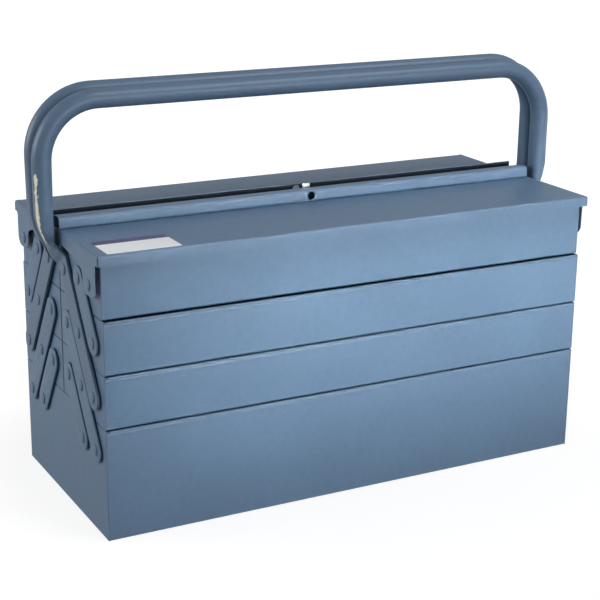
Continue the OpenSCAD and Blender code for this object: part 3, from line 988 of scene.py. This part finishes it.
# painted shade: the handles' enamel is made darker to stand in for the weaker light that reaches them
HANDLE_SHADE = 0.86
LEG_W = 2 * (ROWS[1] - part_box("front_handle")[0][2])
LEG_T = 3.2 * MM
LEG_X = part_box("front_long_arm_right")[0][0] + LEG_T / 2
MID_CLEAR = 0.4 * MM                       # between each tube and the middle plane
LEG_FLAT, LEG_CLEAR = 8 * MM, 17 * MM      # above the top pivot: end of the flat, end of the step
CLEAR_X, CLEAR_T = 0.2725, 4.0 * MM        # place and thickness just past the lid's end edge
ROUND_Z = ROWS[3] + 50 * MM


def handle_rings(side, x_out, z_top):
    """Rings of one handle from its left tip to its right tip.

    Each ring is a superellipse |u / a|^n + |v / b|^n = 1 in a plane given by a centre and two unit
    directions, u along the leg's width and v outwards. The flat leg has a round tip, runs up its
    line of pivots and steps out past the lid along half a cosine wave. On the neck, a, n, the
    distance from the middle and the lean close up in its first third and then run straight to the
    round tube, while b and x open out all the way. v is scaled by 1 - c exp(-(u / 0.4 a)^2), which
    presses a flute into both faces; c fades out up the tube. The corner turns the plane about the
    bend's centre, and the right half is the left half's mirror image."""
    x_round = x_out - TUBE_R
    z_bar = z_top - TUBE_R
    y_round = TUBE_R + MID_CLEAR
    low = np.array([OUTER, ROWS[1]])
    leg = 2 * ARM_L
    tip = -LEG_W / 2 * np.array([0.998, 0.985, 0.95, 0.88, 0.76, 0.6, 0.4, 0.2])
    s_leg = np.concatenate([tip, np.linspace(0, leg + LEG_FLAT, 28),
                            leg + np.linspace(LEG_FLAT, LEG_CLEAR, 7)[1:]])
    step = 0.5 - 0.5 * np.cos(math.pi * np.clip((s_leg - leg - LEG_FLAT) / (LEG_CLEAR - LEG_FLAT), 0, 1))
    a_leg = np.where(s_leg < 0, np.sqrt(np.maximum((LEG_W / 2) ** 2 - s_leg ** 2, 1e-9)), LEG_W / 2)
    b_leg = LEG_T / 2 + step * (CLEAR_T - LEG_T) / 2
    x_leg = LEG_X + step * (CLEAR_X - LEG_X)
    centre_leg = low + s_leg[:, None] * UP
    top = low + (leg + LEG_CLEAR) * UP

    t = np.linspace(0, 1, 25)[1:]

    def neck(at, values):
        return np.interp(t, at, values)

    def up(first, last):
        return np.linspace(first, last, 9)[1:]

    shut = (0, 0.08, 0.2, 0.32, 1)
    opened = (0, 0.12, 0.3, 0.6, 1)
    zs = np.concatenate([neck((0, 1), (top[1], ROUND_Z)), up(ROUND_Z, z_bar - BEND_R)])
    ys = np.concatenate([neck(shut, (top[0], 13.2 * MM, 10.8 * MM, 10.2 * MM, y_round)),
                         up(y_round, y_round)])
    lean = np.concatenate([neck(shut, (1, 0.85, 0.3, 0.1, 0)), np.zeros(8)])
    x_all = np.concatenate([x_leg, neck(opened, (CLEAR_X, 0.2750, 0.2780, 0.2804, x_round)),
                            up(x_round, x_round)])
    a_all = np.concatenate([a_leg, neck(shut, (LEG_W / 2, 11.4 * MM, 8.6 * MM, 7.9 * MM, 9.6 * MM)),
                            up(9.6 * MM, TUBE_R)])
    b_all = np.concatenate([b_leg, neck(opened, (CLEAR_T / 2, 2.9 * MM, 4.6 * MM, 7.3 * MM, 9.2 * MM)),
                            up(9.2 * MM, TUBE_R)])
    n_all = np.concatenate([np.full(len(s_leg), 9.0), neck(shut, (9, 7, 4, 3, 2.2)), up(2.2, 2.0)])
    turn = math.atan2(-UP[0], UP[1])
    angle = turn * lean
    across = np.concatenate([np.broadcast_to(ACROSS, (len(s_leg), 2)),
                             np.stack([np.cos(angle), np.sin(angle)], 1)])
    centre = np.concatenate([centre_leg, np.stack([ys, zs], 1)])
    smooth_from = len(s_leg) - 4
    for values in (x_all, a_all, b_all, n_all):
        tail = values[smooth_from:].copy()
        for _ in range(2):
            tail[1:-1] = 0.25 * tail[:-2] + 0.5 * tail[1:-1] + 0.25 * tail[2:]
        values[smooth_from:] = tail
    flute = np.interp(centre[:, 1], [ROWS[3], top[1], ROUND_Z, ROUND_Z + 45 * MM], [0, 0.16, 0.14, 0])
    phi = np.linspace(0, 2 * math.pi, RING, endpoint=False)
    c, s = np.cos(phi), np.sin(phi)
    power = 2 / n_all[:, None]
    u = a_all[:, None] * np.sign(c) * np.abs(c) ** power
    v = b_all[:, None] * np.sign(s) * np.abs(s) ** power
    v = v * (1 - flute[:, None] * np.exp(-(u / (0.4 * a_all[:, None])) ** 2))
    rings = np.empty((len(x_all), RING, 3))
    rings[..., 0] = -(x_all[:, None] + v)
    dist = centre[:, 0, None] + u * across[:, 0, None]
    rings[..., 1] = side * np.maximum(dist, MID_CLEAR)
    rings[..., 2] = centre[:, 1, None] + u * across[:, 1, None]

    beta = np.linspace(0, math.pi / 2, 19)[1:]
    cu, sv = np.cos(phi) * TUBE_R, np.sin(phi) * TUBE_R
    radius = BEND_R + sv[None]
    bend = np.empty((len(beta), RING, 3))
    bend[..., 0] = -(x_round - BEND_R) - radius * np.cos(beta)[:, None]
    bend[..., 1] = side * (y_round + cu[None])
    bend[..., 2] = z_bar - BEND_R + radius * np.sin(beta)[:, None]
    bar_x = np.linspace(-(x_round - BEND_R), 0, 8)[1:]
    bar = np.empty((len(bar_x), RING, 3))
    bar[..., 0] = bar_x[:, None]
    bar[..., 1] = side * (y_round + cu[None])
    bar[..., 2] = z_bar + sv[None]
    left = np.concatenate([rings, bend, bar])
    right = left[-2::-1] * np.array([-1, 1, 1])
    return np.concatenate([left, right])


# the line down the left leg along which the enamel is rubbed away
RUBBED = np.array([[-0.2901, -0.0153, 0.333], [-0.2901, -0.0150, 0.300], [-0.2872, -0.0140, 0.281],
                   [-0.2822, -0.0135, 0.268]])


def worn_field(mesh):
    """Stores each point's nearness to the rubbed line, 1 on it and 0 at 4.6 mm, on the mesh."""
    co = np.empty(3 * len(mesh.vertices))
    mesh.vertices.foreach_get("co", co)
    co = co.reshape(-1, 1, 3)
    start, way = RUBBED[:-1], np.diff(RUBBED, axis=0)
    t = np.clip(((co - start) * way).sum(2) / (way ** 2).sum(1), 0, 1)
    gap = np.linalg.norm(co - start - t[..., None] * way, axis=2).min(1)
    field = mesh.attributes.new("rubbed", "FLOAT", "POINT")
    field.data.foreach_set("value", np.clip(1 - gap / (4.6 * MM), 0, 1))


class TOOLBOX_OT_fittings(bpy.types.Operator):
    """Build the catch between the lids and the blank label"""

    bl_idname = "toolbox.fittings"
    bl_label = "Catch and label"

    def execute(self, context):
        low, high = extent("latch_plate")
        z = np.array([low[2], low[2], high[2], high[2]])
        outline = rounded(np.stack([[low[0], high[0], high[0], low[0]], z], 1),
                          [0.3 * MM, 0.3 * MM, 1.0 * MM, 1.0 * MM], closed=True)
        v, f = plate(outline, [], low[1], high[1], 0.3 * MM)
        as_piece("catch_tab", [(v[:, [1, 0, 2]], f)], "front_lid", finish_of("zinc"), "zinc",
                 "latch_plate")
        low, high = extent("paper_label")
        y = np.array([low[1], low[1], high[1], high[1]])
        outline = rounded(np.stack([[low[0], high[0], high[0], low[0]], y], 1), 1.2 * MM, closed=True)
        v, f = plate(outline, [], low[2], high[2], 0.05 * MM)
        as_piece("paper_label_sheet", [(v[:, [1, 2, 0]], f)], "front_lid", label_material(low, high),
                 "label", "paper_label")
        return {"FINISHED"}


class TOOLBOX_OT_stage(bpy.types.Operator):
    """Set the camera, the room's light and the white floor"""

    bl_idname = "toolbox.stage"
    bl_label = "Stage"

    def execute(self, context):
        stage = context.scene.box_stage
        camera(stage)
        world(stage)
        floor()
        lamps(stage)
        context.scene.view_settings.view_transform = "Standard"
        return {"FINISHED"}


def camera(stage):
    """Looks along (sin turn cos down, cos turn cos down, -sin down), rolled about that line."""
    data = bpy.data.cameras.new("camera")
    data.sensor_width = 36
    data.lens = stage.lens
    data.clip_end = 50
    obj = bpy.data.objects.new("camera", data)
    bpy.context.scene.collection.objects.link(obj)
    t, d, r = stage.turn, stage.down, stage.roll
    ahead = Vector((math.sin(t) * math.cos(d), math.cos(t) * math.cos(d), -math.sin(d)))
    right = Vector((math.cos(t), -math.sin(t), 0))
    up = right.cross(ahead)
    x = right * math.cos(r) + up * math.sin(r)
    y = -right * math.sin(r) + up * math.cos(r)
    turned = Matrix((x, y, -ahead)).transposed().to_4x4()
    obj.matrix_world = Matrix.Translation(stage.eye) @ turned
    bpy.context.scene.camera = obj


def seen_share(tree):
    """Share of the white room that a ray sees: all of it from the camera and through clear pieces, a
    third in the enamel's and the zinc's mirror, and none of it as light that falls on the box."""
    path = tree.nodes.new("ShaderNodeLightPath")
    mirrored = maths(tree, "MULTIPLY", path.outputs["Is Glossy Ray"], 0.33)
    sharp = maths(tree, "MAXIMUM", mirrored, path.outputs["Is Transmission Ray"])
    return maths(tree, "MAXIMUM", path.outputs["Is Camera Ray"], sharp)


def world(stage):
    """Soft room for light and mirrors, brighter in front than behind; white to the camera.

    The strength runs from front to back over the direction's Y, fades a little overhead, and is
    a little lower on the left."""
    scene = bpy.context.scene
    room = bpy.data.worlds.new("room")
    room.use_nodes = True
    tree = room.node_tree
    tree.nodes.clear()
    out = tree.nodes.new("ShaderNodeOutputWorld")
    seen = tree.nodes.new("ShaderNodeBackground")
    seen.inputs["Color"].default_value = (1, 1, 1, 1)
    seen.inputs["Strength"].default_value = 1
    lit = tree.nodes.new("ShaderNodeBackground")
    coords = tree.nodes.new("ShaderNodeTexCoord")
    split = tree.nodes.new("ShaderNodeSeparateXYZ")
    link(tree, coords.outputs["Generated"], split.inputs[0])
    depth = maths(tree, "MULTIPLY_ADD", split.outputs["Y"], 0.5, 0.5)
    front = ramp(tree, depth, [(0.0, 1.0), (0.3, 0.9), (0.55, 0.7), (0.8, 0.42), (1.0, 0.36)])
    height = ramp(tree, split.outputs["Z"], [(0.0, 1.0), (0.25, 0.85), (0.6, 0.6), (1.0, 0.7)])
    shade = blend_colour(tree, "MULTIPLY", 1.0, front.outputs["Color"], height.outputs["Color"])
    across = maths(tree, "MULTIPLY_ADD", split.outputs["X"], 0.5, 0.5)
    left = ramp(tree, across, [(0.0, 0.85), (0.35, 0.9), (0.6, 1.0), (1.0, 1.0)])
    shade = blend_colour(tree, "MULTIPLY", 1.0, shade, left.outputs["Color"])
    link(tree, shade, lit.inputs["Color"])
    lit.inputs["Strength"].default_value = stage.sky
    mix = tree.nodes.new("ShaderNodeMixShader")
    link(tree, seen_share(tree), mix.inputs[0])
    link(tree, lit.outputs[0], mix.inputs[1])
    link(tree, seen.outputs[0], mix.inputs[2])
    link(tree, mix.outputs[0], out.inputs["Surface"])
    scene.world = room


def floor():
    """White floor that keeps a soft shadow round the box: to the camera a share of it shines white,
    and that share grows to the whole with the distance from the box."""
    mesh = bpy.data.meshes.new("floor")
    size = 14.0
    mesh.from_pydata([(-size, -size, 0), (size, -size, 0), (size, size, 0), (-size, size, 0)], [],
                     [(0, 1, 2, 3)])
    obj = bpy.data.objects.new("floor", mesh)
    bpy.context.scene.collection.objects.link(obj)
    mat, tree, shader = node_tree("floor_white")
    out = tree.nodes["Material Output"]
    seen = seen_share(tree)
    base = blend_colour(tree, "MIX", seen, (0.25, 0.25, 0.25), (0.9, 0.9, 0.9))
    link(tree, base, shader.inputs["Base Color"])
    shader.inputs["Roughness"].default_value = 0.9
    shader.inputs["Specular IOR Level"].default_value = 0.1
    glow = tree.nodes.new("ShaderNodeEmission")
    glow.inputs["Color"].default_value = (1, 1, 1, 1)
    glow.inputs["Strength"].default_value = 1.12
    coords = tree.nodes.new("ShaderNodeTexCoord")
    length = tree.nodes.new("ShaderNodeVectorMath")
    length.operation = "LENGTH"
    link(tree, coords.outputs["Object"], length.inputs[0])
    share = ramp(tree, length.outputs["Value"], [(0.0, 0.68), (0.30, 0.74), (0.52, 1.0)])
    share = maths(tree, "MULTIPLY", seen, share.outputs["Color"])
    mix = tree.nodes.new("ShaderNodeMixShader")
    link(tree, share, mix.inputs[0])
    link(tree, shader.outputs[0], mix.inputs[1])
    link(tree, glow.outputs[0], mix.inputs[2])
    link(tree, mix.outputs[0], out.inputs["Surface"])
    mesh.materials.append(mat)


def area_light(name, place, target, size, power, spread=180):
    """A soft box at a place, turned to its target."""
    data = bpy.data.lights.new(name, "AREA")
    data.shape = "RECTANGLE"
    data.size, data.size_y = size
    data.energy = power
    data.spread = math.radians(spread)
    obj = bpy.data.objects.new(name, data)
    bpy.context.scene.collection.objects.link(obj)
    obj.location = place
    obj.rotation_euler = (Vector(target) - Vector(place)).to_track_quat("-Z", "Y").to_euler()
    return obj


def lamps(stage):
    """A wide soft box in front, a narrow one low in front that warms the middle of the trays, one
    at the left for the ends, and one high at the right for the lids and the front folds."""
    area_light("key", (0.55, -2.2, 0.55), (0, 0, 0.22), (2.0, 0.7), stage.key * 1.9)
    area_light("near", (0.45, -1.5, 0.42), (0.17, -0.11, 0.195), (0.75, 0.16), stage.key * 0.054, spread=16)
    area_light("left", (-1.75, 0.7, 0.8), (-0.27, 0, 0.2), (1.2, 1.0), stage.key * 1.75)
    area_light("top", (0.65, -0.75, 1.8), (0, -0.08, 0.26), (1.2, 0.35), stage.key * 1.2)


class TOOLBOX_PT_panel(bpy.types.Panel):
    """Tool box pieces"""

    bl_idname = "TOOLBOX_PT_panel"
    bl_label = "Tool Box"
    bl_space_type = "VIEW_3D"
    bl_region_type = "UI"
    bl_category = "Tool Box"

    def draw(self, context):
        for step in STEPS:
            self.layout.operator(step.bl_idname)
        for group in (context.scene.box_sheet, context.scene.box_finish, context.scene.box_stage):
            column = self.layout.column()
            for key in group.__annotations__:
                column.prop(group, key)


STEPS = (TOOLBOX_OT_stage, TOOLBOX_OT_base, TOOLBOX_OT_trays, TOOLBOX_OT_lids, TOOLBOX_OT_arms,
         TOOLBOX_OT_rivets, TOOLBOX_OT_handles, TOOLBOX_OT_fittings)
CLASSES = (SheetSizes, FinishSizes, StageSizes, *STEPS, TOOLBOX_PT_panel)


def register():
    """Adds the classes and hangs the three groups of settings on the scene."""
    for cls in CLASSES:
        bpy.utils.register_class(cls)
    bpy.types.Scene.box_sheet = bpy.props.PointerProperty(type=SheetSizes)
    bpy.types.Scene.box_finish = bpy.props.PointerProperty(type=FinishSizes)
    bpy.types.Scene.box_stage = bpy.props.PointerProperty(type=StageSizes)


def unregister():
    """Takes the settings and the classes away again."""
    del bpy.types.Scene.box_sheet
    del bpy.types.Scene.box_finish
    del bpy.types.Scene.box_stage
    for cls in reversed(CLASSES):
        bpy.utils.unregister_class(cls)


def main():
    """Builds everything in order."""
    register()
    bpy.ops.toolbox.stage()
    bpy.ops.toolbox.base()
    bpy.ops.toolbox.trays()
    bpy.ops.toolbox.lids()
    bpy.ops.toolbox.arms()
    bpy.ops.toolbox.rivets()
    bpy.ops.toolbox.handles()
    bpy.ops.toolbox.fittings()


if __name__ == "__main__":
    main()
